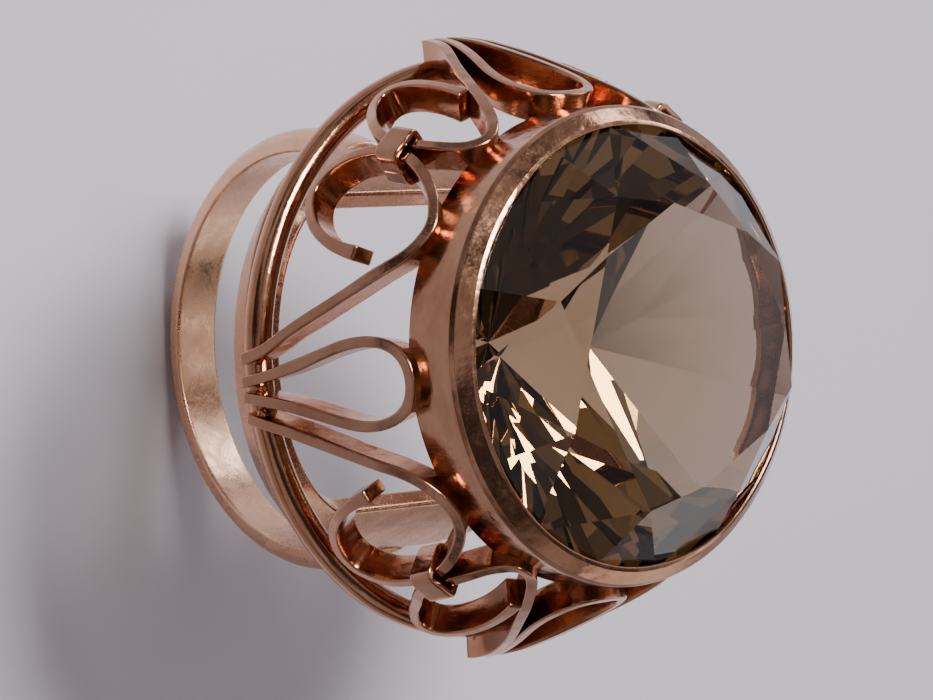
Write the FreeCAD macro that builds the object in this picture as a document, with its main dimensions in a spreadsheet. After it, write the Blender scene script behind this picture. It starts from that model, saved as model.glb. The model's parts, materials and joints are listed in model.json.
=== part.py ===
import FreeCAD, Part
import Sketcher
import math
import os

# ---------------------------------------------------------------------------
# Cocktail ring: a large round faceted stone in a rub-over bezel, carried by an
# open basket of wire petals and ribbon scrolls on a round-wire base ring, with
# a saddle-shaped finger plate and a D-section shank below.
#
# Frame: origin at the centre of the finger hole. The finger lies along Y.
# +Z goes through the middle of the stone. X runs across the shank.
# Millimetres throughout.
# ---------------------------------------------------------------------------

V = FreeCAD.Vector
doc = FreeCAD.newDocument("cocktail_ring")

# ------------------------------------------------------------ spreadsheet --
sheet = doc.addObject("Spreadsheet::Sheet", "Dims")
DIMS = [
    # finger hole, shank and finger plate
    ("finger_radius", 9.3),
    ("shank_thick", 1.15),
    ("shank_width", 2.4),
    ("shank_edge", 0.62),
    ("shoulder_angle", 66.0),
    ("plate_thick", 0.95),
    ("plate_half_x", 9.6),
    ("plate_half_y", 12.55),
    ("opening_half_x", 8.2),
    ("opening_half_y", 10.7),
    ("opening_angle", 44.0),
    # round base wire
    ("wire_major", 12.4),
    ("wire_radius", 0.6),
    ("wire_height", 10.83),
    # bezel
    ("collet_radius", 10.35),
    ("collet_wall", 0.45),
    ("collet_bottom", 18.2),
    ("rim_low", 20.75),
    ("rim_high", 21.45),
    ("rim_inner", 9.45),
    ("seat_bottom", 19.35),
    ("seat_top", 20.62),
    ("seat_inner", 8.78),
    # stone
    ("girdle_radius", 9.75),
    ("girdle_low", 20.72),
    ("girdle_high", 20.98),
    ("table_radius", 6.05),
    ("table_height", 24.4),
    ("culet_height", 12.6),
    # ribbons
    ("ribbon_thick", 0.5),
    ("ribbon_depth", 1.4),
    # collars
    ("collar_height", 16.0),
    ("collar_out", 12.84),
    ("collar_span", 1.86),
    ("collar_deep", 2.06),
    ("collar_long", 1.2),
    ("collar_slot_span", 1.26),
    ("collar_slot_deep", 1.46),
    ("collar_lean", 12.0),
]
for i, (name, value) in enumerate(DIMS, start=1):
    sheet.set("A%d" % i, name)
    sheet.set("B%d" % i, str(value))
    sheet.setAlias("B%d" % i, name)
doc.recompute()


def val(name):
    """The number that the sheet holds under an alias."""
    return float(sheet.get(name))


def plane(body, role):
    for f in body.Origin.OriginFeatures:
        if f.Role == role:
            return f
    raise RuntimeError("no origin plane " + role)


def sketch_on(body, role, name):
    sk = body.newObject("Sketcher::SketchObject", name)
    sk.AttachmentSupport = [(plane(body, role), "")]
    sk.MapMode = "FlatFace"
    return sk


def driven(sk, index, expression):
    sk.setExpression("Constraints[%d]" % index, expression)


def closed_profile(sk, points):
    """Straight closed outline whose corners are bound to the sheet.

    points is a list of (x, y, x expression, y expression)."""
    n = len(points)
    for i in range(n):
        a, b = points[i], points[(i + 1) % n]
        sk.addGeometry(Part.LineSegment(V(a[0], a[1], 0), V(b[0], b[1], 0)), False)
    for i in range(n):
        sk.addConstraint(Sketcher.Constraint("Coincident", i, 2, (i + 1) % n, 1))
    for i, (x, y, ex, ey) in enumerate(points):
        c = sk.addConstraint(Sketcher.Constraint("DistanceX", -1, 1, i, 1, x))
        driven(sk, c, ex)
        c = sk.addConstraint(Sketcher.Constraint("DistanceY", -1, 1, i, 1, y))
        driven(sk, c, ey)


nodes = []


def keep(obj, label):
    obj.Label = label
    nodes.append(obj)
    return obj


# ------------------------------------------------------------------ shank --
# D-section band: flat inside against the finger, domed outside. The profile
# stands at the lowest point of the hoop and is turned about the finger axis,
# the same angle to each side, up to the ends of the finger plate.
shank = doc.addObject("PartDesign::Body", "shank_body")
sk = sketch_on(shank, "YZ_Plane", "shank_profile")
fr, stk, sw, se = val("finger_radius"), val("shank_thick"), val("shank_width"), val("shank_edge")
h2 = sw / 2.0
# sketch axes here: first axis = Y, second axis = Z
p1, p2 = V(-h2, -fr, 0), V(h2, -fr, 0)
p3, p4 = V(h2, -(fr + se), 0), V(-h2, -(fr + se), 0)
sk.addGeometry(Part.LineSegment(p1, p2), False)
sk.addGeometry(Part.LineSegment(p2, p3), False)
rise = stk - se
dome = (h2 * h2 + rise * rise) / (2 * rise)
centre = V(0, -(fr + stk) + dome, 0)
half = math.asin(h2 / dome)
sk.addGeometry(Part.ArcOfCircle(Part.Circle(centre, V(0, 0, 1), dome),
                                1.5 * math.pi - half, 1.5 * math.pi + half), False)
sk.addGeometry(Part.LineSegment(p4, p1), False)
sk.addConstraint(Sketcher.Constraint("Coincident", 0, 2, 1, 1))
sk.addConstraint(Sketcher.Constraint("Coincident", 1, 2, 2, 2))
sk.addConstraint(Sketcher.Constraint("Coincident", 2, 1, 3, 1))
sk.addConstraint(Sketcher.Constraint("Coincident", 3, 2, 0, 1))
for geo, pos, x, y, ex, ey in (
    (0, 1, -h2, -fr, "-Dims.shank_width / 2", "-Dims.finger_radius"),
    (0, 2, h2, -fr, "Dims.shank_width / 2", "-Dims.finger_radius"),
    (1, 2, h2, -(fr + se), "Dims.shank_width / 2", "-(Dims.finger_radius + Dims.shank_edge)"),
    (3, 1, -h2, -(fr + se), "-Dims.shank_width / 2", "-(Dims.finger_radius + Dims.shank_edge)"),
):
    c = sk.addConstraint(Sketcher.Constraint("DistanceX", -1, 1, geo, pos, x))
    driven(sk, c, ex)
    c = sk.addConstraint(Sketcher.Constraint("DistanceY", -1, 1, geo, pos, y))
    driven(sk, c, ey)
# the arc's centre height fixes its bulge: crown at finger_radius + shank_thick
c = sk.addConstraint(Sketcher.Constraint("DistanceY", -1, 1, 2, 3, -(fr + stk) + dome))
driven(
    sk,
    c,
    "-(Dims.finger_radius + Dims.shank_thick)"
    " + ((Dims.shank_width / 2) ^ 2 + (Dims.shank_thick - Dims.shank_edge) ^ 2)"
    " / (2 * (Dims.shank_thick - Dims.shank_edge))",
)
rev = shank.newObject("PartDesign::Revolution", "shank_hoop")
rev.Profile = (sk, [""])
rev.ReferenceAxis = (sk, ["H_Axis"])
rev.Midplane = True
rev.Angle = 360.0 - 2.0 * val("shoulder_angle")
rev.setExpression("Angle", "360 - 2 * Dims.shoulder_angle")
shank.Tip = rev
keep(shank, "shank")

# ----------------------------------------------------------- finger plate --
# A flat oval ring bent over the finger: narrow at the front and back, wide at
# the sides, where the shank meets it end to end.


def ellipse_sketch(name, rx, ry, ex, ey):
    s = doc.addObject("Sketcher::SketchObject", name)
    # long axis along Y
    e = Part.Ellipse(V(0, ry, 0), V(rx, 0, 0), V(0, 0, 0))
    s.addGeometry(e, False)
    s.exposeInternalGeometry(0)
    # internal geometry: 1 = major axis line, 2 = minor axis line
    s.addConstraint(Sketcher.Constraint("Coincident", 0, 3, -1, 1))
    c1 = s.addConstraint(Sketcher.Constraint("Distance", 1, 2 * ry))
    s.setExpression("Constraints[%d]" % c1, ey)
    c2 = s.addConstraint(Sketcher.Constraint("Distance", 2, 2 * rx))
    s.setExpression("Constraints[%d]" % c2, ex)
    s.addConstraint(Sketcher.Constraint("Vertical", 1))
    return s


def prism(name, s, tall):
    e = doc.addObject("Part::Extrusion", name)
    e.Base = s
    e.DirMode = "Custom"
    e.Dir = V(0, 0, 1)
    e.LengthFwd = tall
    e.Solid = True
    return e


def y_cylinder(name, radius_expr, length):
    cyl = doc.addObject("Part::Cylinder", name)
    cyl.Height = length
    cyl.setExpression("Radius", radius_expr)
    cyl.Placement = FreeCAD.Placement(V(0, -length / 2.0, 0), FreeCAD.Rotation(V(1, 0, 0), -90))
    return cyl


def wedge_sketch(name, angle_expr, angle):
    """Triangle in the XZ plane with its point on the finger axis, opening up."""
    s = doc.addObject("Sketcher::SketchObject", name)
    s.Placement = FreeCAD.Placement(V(0, 0, 0), FreeCAD.Rotation(V(1, 0, 0), 90))
    reach = 13.0
    pts = [V(0, 0, 0),
           V(reach * math.tan(math.radians(angle)), reach, 0),
           V(-reach * math.tan(math.radians(angle)), reach, 0)]
    for i in range(3):
        s.addGeometry(Part.LineSegment(pts[i], pts[(i + 1) % 3]), False)
    for i in range(3):
        s.addConstraint(Sketcher.Constraint("Coincident", i, 2, (i + 1) % 3, 1))
    s.addConstraint(Sketcher.Constraint("Coincident", 0, 1, -1, 1))
    for geo, sign in ((1, 1), (2, -1)):
        c = s.addConstraint(Sketcher.Constraint("DistanceX", -1, 1, geo, 1,
                                                sign * reach * math.tan(math.radians(angle))))
        s.setExpression("Constraints[%d]" % c, "%d * %g * tan(%s * 1deg)" % (sign, reach, angle_expr))
        c = s.addConstraint(Sketcher.Constraint("DistanceY", -1, 1, geo, 1, reach))
    return s


def wedge(name, s):
    e = doc.addObject("Part::Extrusion", name)
    e.Base = s
    e.DirMode = "Custom"
    e.Dir = V(0, 1, 0)
    e.LengthFwd = 15
    e.LengthRev = 15
    e.Solid = True
    return e


shell_out = y_cylinder("plate_outer", "Dims.finger_radius + Dims.plate_thick", 30)
shell_in = y_cylinder("plate_inner", "Dims.finger_radius", 32)
shell = doc.addObject("Part::Cut", "plate_shell")
shell.Base, shell.Tool = shell_out, shell_in
outline = prism("plate_outline", ellipse_sketch(
    "plate_outline_sketch", val("plate_half_x"), val("plate_half_y"),
    "2 * Dims.plate_half_x", "2 * Dims.plate_half_y"), 12)
ends = wedge("plate_ends", wedge_sketch("plate_ends_sketch", "Dims.shoulder_angle", val("shoulder_angle")))
blank_a = doc.addObject("Part::Common", "plate_blank_a")
blank_a.Base, blank_a.Tool = shell, outline
blank = doc.addObject("Part::Common", "plate_blank")
blank.Base, blank.Tool = blank_a, ends
open_oval = prism("opening_oval", ellipse_sketch(
    "opening_sketch", val("opening_half_x"), val("opening_half_y"),
    "2 * Dims.opening_half_x", "2 * Dims.opening_half_y"), 13)
open_wedge = wedge("opening_wedge", wedge_sketch(
    "opening_wedge_sketch", "Dims.opening_angle", val("opening_angle")))
opening = doc.addObject("Part::Common", "opening_tool")
opening.Base, opening.Tool = open_oval, open_wedge
plate = doc.addObject("Part::Cut", "plate_cut")
plate.Base, plate.Tool = blank, opening
keep(plate, "finger_plate")

# -------------------------------------------------------------- base ring --
# Round wire hoop that lies on the finger plate at the front and the back and
# bridges over it at the sides. Where it rests, the plate's own curve is filed
# into it, so the two meet without overlapping.
hoop = doc.addObject("Part::Torus", "wire_hoop")
hoop.setExpression("Radius1", "Dims.wire_major")
hoop.setExpression("Radius2", "Dims.wire_radius")
hoop.setExpression("Placement.Base.z", "Dims.wire_height")
flat = y_cylinder("wire_seat", "Dims.finger_radius + Dims.plate_thick", 34)
ring = doc.addObject("Part::Cut", "base_ring_cut")
ring.Base, ring.Tool = hoop, flat
keep(ring, "base_ring")

# ------------------------------------------------------------------ bezel --
# Outer wall with its top edge burnished over the stone at about 40 degrees.
collet = doc.addObject("PartDesign::Body", "collet_body")
sk = sketch_on(collet, "XZ_Plane", "collet_profile")
cr, cw = val("collet_radius"), val("collet_wall")
cb, rl, rh, ri = val("collet_bottom"), val("rim_low"), val("rim_high"), val("rim_inner")
gl, gh, gr = val("girdle_low"), val("girdle_high"), val("girdle_radius")
closed_profile(sk, [
    (cr - cw, cb, "Dims.collet_radius - Dims.collet_wall", "Dims.collet_bottom"),
    (cr, cb, "Dims.collet_radius", "Dims.collet_bottom"),
    (cr, rl, "Dims.collet_radius", "Dims.rim_low"),
    (cr - 0.12, rl + 0.16, "Dims.collet_radius - 0.12", "Dims.rim_low + 0.16"),
    (ri, rh, "Dims.rim_inner", "Dims.rim_high"),
    (ri, gh + 0.36, "Dims.rim_inner", "Dims.girdle_high + 0.36"),
    (gr, gh + 0.04, "Dims.girdle_radius + 0", "Dims.girdle_high + 0.04"),
    (cr - cw, gh - 0.1, "Dims.collet_radius - Dims.collet_wall", "Dims.girdle_high - 0.1"),
])
rev = collet.newObject("PartDesign::Revolution", "collet_turn")
rev.Profile = (sk, [""])
rev.ReferenceAxis = (sk, ["V_Axis"])
rev.Angle = 360.0
collet.Tip = rev
keep(collet, "bezel_collet")

# Bearing ring inside the collet: its sloped inner face carries the pavilion.
seat = doc.addObject("PartDesign::Body", "seat_body")
sk = sketch_on(seat, "XZ_Plane", "seat_profile")
sb, st, si = val("seat_bottom"), val("seat_top"), val("seat_inner")
closed_profile(sk, [
    (si, sb, "Dims.seat_inner", "Dims.seat_bottom"),
    (cr - cw, sb, "Dims.collet_radius - Dims.collet_wall", "Dims.seat_bottom"),
    (cr - cw, st, "Dims.collet_radius - Dims.collet_wall", "Dims.seat_top"),
    (cr - cw - 0.12, st, "Dims.collet_radius - Dims.collet_wall - 0.12", "Dims.seat_top"),
    (si, sb + 0.42, "Dims.seat_inner", "Dims.seat_bottom + 0.42"),
])
rev = seat.newObject("PartDesign::Revolution", "seat_turn")
rev.Profile = (sk, [""])
rev.ReferenceAxis = (sk, ["V_Axis"])
rev.Angle = 360.0
seat.Tip = rev
keep(seat, "bezel_seat")

# ------------------------------------------------------------------ stone --
# Round brilliant: octagonal table, eight star facets, eight kites, sixteen
# upper and sixteen lower girdle facets, eight pavilion mains and a culet.


def ring_pts(radius, z, count, turn=0.0):
    return [V(radius * math.cos(math.radians(turn + 360.0 * i / count)),
              radius * math.sin(math.radians(turn + 360.0 * i / count)), z) for i in range(count)]


def brilliant():
    gr, gl, gh = val("girdle_radius"), val("girdle_low"), val("girdle_high")
    tr, tz, cz = val("table_radius"), val("table_height"), val("culet_height")
    crown_h, pav_h = tz - gh, gl - cz
    turn = 5.0                      # angle of the first table corner
    table = ring_pts(tr, tz, 8, turn)
    # girdle corners: kites end at the table corners' angles, halves between
    hi = ring_pts(gr, gh, 16, turn)
    lo = ring_pts(gr, gl, 16, turn)
    # star tips lie on the kite planes between two table corners: each kite
    # plane holds its table corner and its girdle corner and is level across,
    # so its height falls linearly along its own direction
    a8 = math.pi / 8.0
    s = crown_h / (gr - tr)         # slope of a kite plane
    rs = 0.5 * (tr * math.cos(a8) + gr * math.cos(a8)) * 0.985
    zs = gh + s * (gr - rs * math.cos(a8))
    stars = ring_pts(rs, zs, 8, turn + 22.5)
    faces = [table]
    for i in range(8):
        j = (i + 1) % 8
        star, star_prev = stars[i], stars[i - 1]
        faces.append([table[i], star, table[j]])                       # star facet
        faces.append([table[i], star_prev, hi[2 * i], star])           # kite
        faces.append([star, hi[2 * i], hi[2 * i + 1]])                 # upper halves
        faces.append([star, hi[2 * i + 1], hi[(2 * i + 2) % 16]])
    for i in range(16):
        k = (i + 1) % 16
        faces.append([hi[i], lo[i], lo[k], hi[k]])                     # girdle
    # pavilion mains hang from the same angles as the kites; the lower halves
    # join them at points two thirds of the way to the culet
    culet = V(0, 0, cz)
    sp = pav_h / gr
    rp = gr * 0.24
    zp = gl - sp * (gr - rp * math.cos(a8))
    joins = ring_pts(rp, zp, 8, turn + 22.5)
    for i in range(8):
        jn, jp = joins[i], joins[i - 1]
        faces.append([culet, jp, lo[2 * i], jn])                       # pavilion main
        faces.append([jn, lo[2 * i], lo[2 * i + 1]])
        faces.append([jn, lo[2 * i + 1], lo[(2 * i + 2) % 16]])
    built = []
    for f in faces:
        built.append(Part.Face(Part.makePolygon(f + [f[0]])))
    shell = Part.makeShell(built)
    shell.sewShape()
    solid = Part.makeSolid(shell)
    if solid.Volume < 0:
        solid.reverse()
    return solid


stone = doc.addObject("Part::Feature", "stone_solid")
stone.Shape = brilliant()
stone.Placement = FreeCAD.Placement()
keep(stone, "smoky_quartz")

# ----------------------------------------------------------------- basket --
# All ribbons stand on edge: their thin edge follows an outward-leaning,
# slightly barrelled surface and their depth runs inward along its normal.
# Angles are measured round the stone axis from one of the four cardinal
# points, heights are above the finger centre.
STRAIGHT = [(9.0, 13.45), (11.0, 13.3), (12.5, 12.95), (14.0, 12.5), (15.5, 12.0),
            (17.0, 11.5), (18.4, 11.0), (19.4, 10.8), (21.0, 10.75)]
FLARED = [(9.0, 14.05), (10.9, 13.95), (12.1, 13.75), (13.2, 13.4), (14.4, 12.95), (15.5, 12.5),
          (17.3, 11.75), (18.7, 11.1), (19.4, 10.85), (21.0, 10.75)]
BARREL = [(9.0, 12.85), (12.1, 12.8), (13.5, 12.8), (15.0, 12.65), (16.2, 12.4),
          (17.5, 11.9), (18.7, 11.2), (19.4, 10.85), (21.0, 10.75)]


def pchip(table, x):
    """Monotone cubic through a table of (x, y)."""
    n = len(table)
    xs = [p[0] for p in table]
    ys = [p[1] for p in table]
    x = min(max(x, xs[0]), xs[-1])
    h = [xs[i + 1] - xs[i] for i in range(n - 1)]
    d = [(ys[i + 1] - ys[i]) / h[i] for i in range(n - 1)]
    m = [0.0] * n
    for i in range(1, n - 1):
        if d[i - 1] * d[i] > 0:
            w1, w2 = 2 * h[i] + h[i - 1], h[i] + 2 * h[i - 1]
            m[i] = (w1 + w2) / (w1 / d[i - 1] + w2 / d[i])
    m[0], m[-1] = d[0], d[-1]
    for i in range(n - 1):
        if x <= xs[i + 1]:
            break
    t = (x - xs[i]) / h[i]
    return ((2 * t ** 3 - 3 * t ** 2 + 1) * ys[i] + (t ** 3 - 2 * t ** 2 + t) * h[i] * m[i]
            + (-2 * t ** 3 + 3 * t ** 2) * ys[i + 1] + (t ** 3 - t ** 2) * h[i] * m[i + 1])


def basket_radius(phi, z):
    a = abs((phi + 45.0) % 90.0 - 45.0)
    w = min(max((a - 8.0) / 27.0, 0.0), 1.0)
    w = w * w * (3 - 2 * w)
    # the basket flares more at its two sides than at its front and back
    base = FLARED if round(phi / 90.0) % 2 else STRAIGHT
    return (1 - w) * pchip(base, z) + w * pchip(BARREL, z)


def on_basket(phi, z):
    """Point on the basket surface; phi = 0 is -Y, phi = 90 is +X."""
    r = basket_radius(phi, z)
    f = math.radians(phi)
    return V(r * math.sin(f), -r * math.cos(f), z)


def basket_normal(phi, z):
    e = 0.2
    du = on_basket(phi + e, z) - on_basket(phi - e, z)
    dv = on_basket(phi, z + 0.05) - on_basket(phi, z - 0.05)
    n = du.cross(dv)
    n.normalize()
    out = V(math.sin(math.radians(phi)), -math.cos(math.radians(phi)), 0)
    return n if n.dot(out) > 0 else n * -1.0


def smooth(points, count):
    """Even samples along a spline through (phi, z) points."""
    # degrees are turned into millimetres at the mean radius for spacing
    k = math.radians(1.0) * 12.0
    spl = Part.BSplineCurve()
    spl.interpolate([V(p[0] * k, p[1], 0) for p in points])
    out = []
    total = spl.length()
    for i in range(count):
        u = spl.parameterAtDistance(total * i / (count - 1), spl.FirstParameter)
        p = spl.value(u)
        out.append((p.x / k, p.y))
    return out


def ribbon(path, count=49):
    """Solid ribbon on edge along (angle, height) points."""
    w, d = val("ribbon_thick"), val("ribbon_depth")
    pts = smooth(path, count)
    pos = [on_basket(*p) for p in pts]
    rails = [[], [], [], []]
    for i, (phi, z) in enumerate(pts):
        a, b = pos[max(i - 1, 0)], pos[min(i + 1, count - 1)]
        t = b - a
        t.normalize()
        n = basket_normal(phi, z)
        t = t - n * t.dot(n)
        t.normalize()
        s = t.cross(n)
        s.normalize()
        p = pos[i]
        rails[0].append(p + s * (w / 2))
        rails[1].append(p - s * (w / 2))
        rails[2].append(p - s * (w / 2) - n * d)
        rails[3].append(p + s * (w / 2) - n * d)
    params = [float(i) for i in range(count)]
    curves = []
    for r in rails:
        c = Part.BSplineCurve()
        c.interpolate(Points=r, Parameters=params)
        curves.append(c)
    # each long side is ruled between two neighbouring corner curves, which
    # share their knots because they were run through the same parameters
    faces = []
    for i in range(4):
        a, b = curves[i], curves[(i + 1) % 4]
        side = Part.BSplineSurface()
        side.buildFromPolesMultsKnots([a.getPoles(), b.getPoles()], [2, 2], a.getMultiplicities(),
                                      [0.0, 1.0], a.getKnots(), False, False, 1, a.Degree)
        faces.append(side.toShape())
    for k in (0, -1):
        quad = [r[k] for r in rails]
        faces.append(Part.Face(Part.makePolygon(quad + [quad[0]])))
    shell = Part.makeShell(faces)
    shell.sewShape()
    solid = Part.makeSolid(shell)
    if solid.Volume < 0:
        solid.reverse()
    return solid


# What the ribbons are filed against: the base wire, the collet and the plate.
cut_wire = Part.makeTorus(val("wire_major"), val("wire_radius"), V(0, 0, val("wire_height")))
cut_collet = Part.makeCylinder(val("collet_radius"), 3.6, V(0, 0, val("collet_bottom")))
cut_finger = Part.makeCylinder(val("finger_radius") + val("plate_thick"), 34.0, V(0, -17, 0), V(0, 1, 0))


def fitted(solid):
    out = solid.cut(cut_wire).cut(cut_collet).cut(cut_finger)
    parts = sorted(out.Solids, key=lambda q: q.Volume)
    return parts[-1]


# Every ribbon is hand bent, so each front piece has its own centreline of
# (angle, height) points. The back pieces repeat the front ones, turned over.
FL_A = [(-0.9, 10.75), (-2.2, 11.8), (-5.2, 12.9), (-9.0, 14.2), (-13.2, 15.6), (-18.4, 17.2), (-22.3, 18.2),
        (-26.0, 18.75), (-30.2, 19.0), (-35.2, 18.8), (-39.4, 18.3), (-42.6, 17.55), (-44.5, 16.7), (-44.9, 15.9),
        (-44.55, 15.0), (-42.9, 13.95), (-40.0, 13.1), (-35.3, 12.65), (-30.5, 13.0), (-25.9, 13.9),
        (-23.1, 15.0), (-21.9, 16.1)]
FL_B = [(-82.3, 10.75), (-80.1, 12.4), (-75.5, 14.1), (-70.8, 15.8), (-67.0, 17.1), (-64.2, 18.0), (-61.0, 18.7),
        (-58.0, 19.0), (-55.0, 19.0), (-52.2, 18.7), (-49.8, 18.1), (-48.1, 17.2), (-47.5, 16.4), (-47.5, 15.6),
        (-48.6, 14.8), (-51.6, 13.8), (-55.2, 13.0), (-58.6, 12.5), (-61.6, 12.4), (-64.0, 12.8), (-65.6, 13.7),
        (-66.3, 14.8), (-66.2, 16.4)]
FR_A = [(10.2, 10.75), (11.4, 11.6), (14.3, 13.3), (18.0, 15.1), (21.8, 16.8), (25.6, 18.0), (29.6, 18.6),
        (33.5, 18.9), (37.8, 18.95), (41.7, 18.7), (45.2, 18.15), (48.1, 17.3), (49.6, 16.5), (49.9, 15.8),
        (50.0, 15.0), (49.6, 14.1), (48.4, 13.2), (45.5, 12.45), (41.7, 12.3), (37.8, 12.55), (34.4, 13.05),
        (31.6, 13.8), (29.4, 14.7), (27.7, 15.8)]
FR_B = [(86.7, 10.75), (86.0, 12.2), (84.3, 13.4), (80.6, 14.9), (75.7, 16.4), (70.8, 17.8), (67.4, 18.6),
        (64.7, 19.1), (61.2, 19.4), (58.2, 19.35), (55.9, 18.95), (54.0, 18.25), (52.9, 17.3), (52.5, 16.4),
        (52.9, 15.5), (54.6, 14.7), (57.0, 14.1), (59.6, 13.4), (62.6, 12.8), (65.6, 12.45), (68.2, 12.6),
        (70.3, 13.2), (71.7, 14.2), (72.0, 15.3), (71.0, 16.3), (69.0, 17.5)]
# half of a petal, from its base to its tip; the other half mirrors it
PETAL = [(1.4, 10.75), (2.2, 11.8), (3.5, 13.0), (6.0, 14.6), (8.2, 15.9), (8.95, 16.9),
         (8.0, 17.85), (5.0, 18.5), (0.0, 18.75)]


def moved(path, sign, offset, spread=1.0):
    return [(sign * p[0] * spread + offset, p[1]) for p in path]


PETAL_LOOP = PETAL + [(-p[0], p[1]) for p in reversed(PETAL[:-1])]
PETALS = [
    ("petal_front", moved(PETAL_LOOP, 1, 4.8)),
    ("petal_right", moved(PETAL_LOOP, 1, 90.6, 1.04)),
    ("petal_back", moved(PETAL_LOOP, 1, 182.0)),
    ("petal_left", moved(PETAL_LOOP, 1, -86.4, 1.10)),
]
SCROLLS = [
    ("scroll_front_left_a", FL_A),
    ("scroll_front_left_b", FL_B),
    ("scroll_front_right_a", FR_A),
    ("scroll_front_right_b", FR_B),
    ("scroll_back_right_b", moved(FR_B, -1, 181.2)),
    ("scroll_back_right_a", moved(FL_A, 1, 176.1)),
    ("scroll_back_left_a", moved(FL_A, -1, -172.3)),
    ("scroll_back_left_b", moved(FL_B, -1, -172.7)),
]
COLLARS = [
    ("collar_front_left", -46.2, 16.0),
    ("collar_front_right", 51.2, 16.1),
    ("collar_back_right", 129.95, 16.0),
    ("collar_back_left", -126.3, 16.0),
]


def feature(label, shape):
    f = doc.addObject("Part::Feature", label + "_shape")
    f.Shape = shape
    f.Placement = FreeCAD.Placement()
    return keep(f, label)


for label, path in PETALS:
    feature(label, fitted(ribbon(path, 65)))
for label, path in SCROLLS:
    feature(label, fitted(ribbon(path, 61)))

# ---------------------------------------------------------------- collars --
# A short band closed round the two ribbons of each quadrant, leaning inward
# with them. Each band is a padded rectangular tube with rounded outer edges.
for label, az, high in COLLARS:
    body = doc.addObject("PartDesign::Body", label + "_body")
    sk = sketch_on(body, "XY_Plane", label + "_section")
    k = 0
    for span, deep, es, ed in (
        (val("collar_span"), val("collar_deep"), "Dims.collar_span", "Dims.collar_deep"),
        (val("collar_slot_span"), val("collar_slot_deep"), "Dims.collar_slot_span", "Dims.collar_slot_deep"),
    ):
        a, b = span / 2.0, deep / 2.0
        q = [V(-a, -b, 0), V(a, -b, 0), V(a, b, 0), V(-a, b, 0)]
        for i in range(4):
            sk.addGeometry(Part.LineSegment(q[i], q[(i + 1) % 4]), False)
        for i in range(4):
            sk.addConstraint(Sketcher.Constraint("Coincident", k + i, 2, k + (i + 1) % 4, 1))
        sk.addConstraint(Sketcher.Constraint("Horizontal", k))
        sk.addConstraint(Sketcher.Constraint("Vertical", k + 1))
        sk.addConstraint(Sketcher.Constraint("Horizontal", k + 2))
        sk.addConstraint(Sketcher.Constraint("Vertical", k + 3))
        c = sk.addConstraint(Sketcher.Constraint("DistanceX", k, 1, k, 2, span))
        driven(sk, c, es)
        c = sk.addConstraint(Sketcher.Constraint("DistanceY", k + 1, 1, k + 1, 2, deep))
        driven(sk, c, ed)
        c = sk.addConstraint(Sketcher.Constraint("DistanceX", k, 1, -1, 1, a))
        driven(sk, c, es + " / 2")
        c = sk.addConstraint(Sketcher.Constraint("DistanceY", k, 1, -1, 1, b))
        driven(sk, c, ed + " / 2")
        k += 4
    pad = body.newObject("PartDesign::Pad", label + "_band")
    pad.Profile = (sk, [""])
    pad.Length = val("collar_long")
    pad.setExpression("Length", "Dims.collar_long")
    pad.Midplane = True
    body.Tip = pad
    doc.recompute()
    # round the four long outer edges
    outer = []
    for i, e in enumerate(pad.Shape.Edges, start=1):
        v = e.Vertexes
        if len(v) == 2 and abs(v[0].Z - v[1].Z) > 0.5:
            if abs(abs(v[0].X) - val("collar_span") / 2) < 1e-4 and abs(abs(v[0].Y) - val("collar_deep") / 2) < 1e-4:
                outer.append("Edge%d" % i)
    fil = body.newObject("PartDesign::Fillet", label + "_round")
    fil.Base = (pad, outer)
    fil.Radius = 0.28
    body.Tip = fil
    # local X is tangential, local Y points outward, local Z follows the lean
    f = math.radians(az)
    lean = math.radians(val("collar_lean"))
    out_dir = V(math.sin(f), -math.cos(f), 0)
    tangent = V(math.cos(f), math.sin(f), 0)
    zdir = V(0, 0, 1) * math.cos(lean) - out_dir * math.sin(lean)
    ydir = out_dir * math.cos(lean) + V(0, 0, 1) * math.sin(lean)
    rot = FreeCAD.Rotation(tangent, ydir, zdir, "ZXY")
    centre_r = val("collar_out") - val("collar_deep") / 2.0
    body.Placement = FreeCAD.Placement(V(out_dir.x * centre_r, out_dir.y * centre_r, high), rot)
    body.setExpression("Placement.Base.x", "%.9f * (Dims.collar_out - Dims.collar_deep / 2)" % out_dir.x)
    body.setExpression("Placement.Base.y", "%.9f * (Dims.collar_out - Dims.collar_deep / 2)" % out_dir.y)
    body.setExpression("Placement.Base.z", "Dims.collar_height + %.3f" % (high - val("collar_height")))
    keep(body, label)

# ----------------------------------------------------------------- output --
doc.recompute()
bad = []
for o in doc.Objects:
    if "Invalid" in o.State or "Error" in o.State:
        bad.append("%s: %s" % (o.Name, o.State))
for o in nodes:
    s = o.Shape
    if s.isNull() or not s.isValid() or not s.Solids:
        bad.append("%s: shape is null, invalid or has no solid" % o.Label)
if bad:
    raise RuntimeError("; ".join(bad))
os.makedirs("parts", exist_ok=True)
for o in nodes:
    print("%-24s solids %d  volume %8.3f  box %s" % (
        o.Label, len(o.Shape.Solids), o.Shape.Volume,
        " ".join("%.2f" % q for q in (o.Shape.BoundBox.XMin, o.Shape.BoundBox.YMin, o.Shape.BoundBox.ZMin,
                                      o.Shape.BoundBox.XMax, o.Shape.BoundBox.YMax, o.Shape.BoundBox.ZMax))))
    o.Shape.exportStep(os.path.join("parts", o.Label + ".step"))
print("nodes:", len(nodes))
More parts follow.
